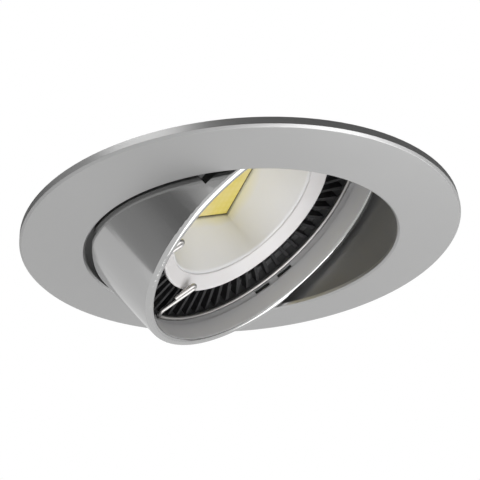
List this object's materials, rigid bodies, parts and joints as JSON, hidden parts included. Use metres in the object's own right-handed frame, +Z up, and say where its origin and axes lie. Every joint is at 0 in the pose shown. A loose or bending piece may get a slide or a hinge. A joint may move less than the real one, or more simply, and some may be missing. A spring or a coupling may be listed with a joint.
{
  "type": "soffit downlight",
  "caption": "Round recessed soffit downlight with a satin trim ring, a tilting barrel, a finned reflector lamp held by a wire ring, and sprung ceiling clips.",
  "frame": {"origin": "centre of the trim flange's back face, in the plane that meets the soffit board", "axes": "+Z up into the soffit, square to the flange; the barrel's tilt axis is parallel to Y and it is tilted towards +X"},
  "size_m": [0.2356, 0.175, 0.1235],
  "materials": {
    "satin_metal": "satin silver-grey, fine grain",
    "zinc_steel": "zinc plated, satin",
    "spring_steel": "bright drawn wire",
    "black_heat_sink": "black anodised, satin",
    "white_plastic": "white, soft gloss",
    "white_reflector": "white, soft gloss",
    "white_board": "white solder mask, matt",
    "dark_border": "dark, matt",
    "yellow_phosphor": "yellow silicone, satin",
    "grey_plastic": "pale grey, matt",
    "green_board": "green lacquer",
    "brass_pins": "nickel-tinted brass",
    "ceramic": "unglazed white ceramic"
  },
  "bodies": {
    "trim": {"trim_ring": "satin_metal", "pivot_washers": "zinc_steel", "clip_brackets": "zinc_steel", "clip_pins": "zinc_steel", "clip_screws": "zinc_steel", "clip_spring_right": "spring_steel", "clip_spring_left": "spring_steel"},
    "barrel": {"barrel_sleeve": "satin_metal", "lamp_ring": "satin_metal", "pivot_plates": "zinc_steel", "pivot_screws": "zinc_steel", "pivot_nuts": "zinc_steel", "friction_washers": "zinc_steel", "retaining_wire": "spring_steel", "lamp_heat_sink": "black_heat_sink", "lamp_bezel": "white_plastic", "lamp_reflector": "white_reflector", "source_board": "white_board", "source_border": "dark_border", "light_source": "yellow_phosphor", "driver_housing": "grey_plastic", "driver_board": "green_board", "contact_pins": "brass_pins", "lampholder": "ceramic", "holder_contacts": "brass_pins", "holder_cover": "ceramic", "holder_rivets": "zinc_steel"},
    "clip_right": {"clip_arm_right": "zinc_steel"},
    "clip_left": {"clip_arm_left": "zinc_steel"}
  },
  "joints": [
    {"name": "barrel_tilt", "type": "hinge", "parent": "trim", "child": "barrel", "pos_m": [0, 0, 0.0211], "axis": [0, -1, 0], "range_deg": [-68, 2]},
    {"name": "clip_right_swing", "type": "hinge", "parent": "trim", "child": "clip_right", "pos_m": [0.07485, 0, 0.012], "axis": [0, -1, 0], "range_deg": [0, 92], "stiffness_Nm_per_rad": 0.06, "springref_deg": -34.38, "deforming": ["clip_spring_right"]},
    {"name": "clip_left_swing", "type": "hinge", "parent": "trim", "child": "clip_left", "pos_m": [-0.07485, 0, 0.012], "axis": [0, 1, 0], "range_deg": [0, 92], "stiffness_Nm_per_rad": 0.06, "springref_deg": -34.38, "deforming": ["clip_spring_left"]}
  ]
}
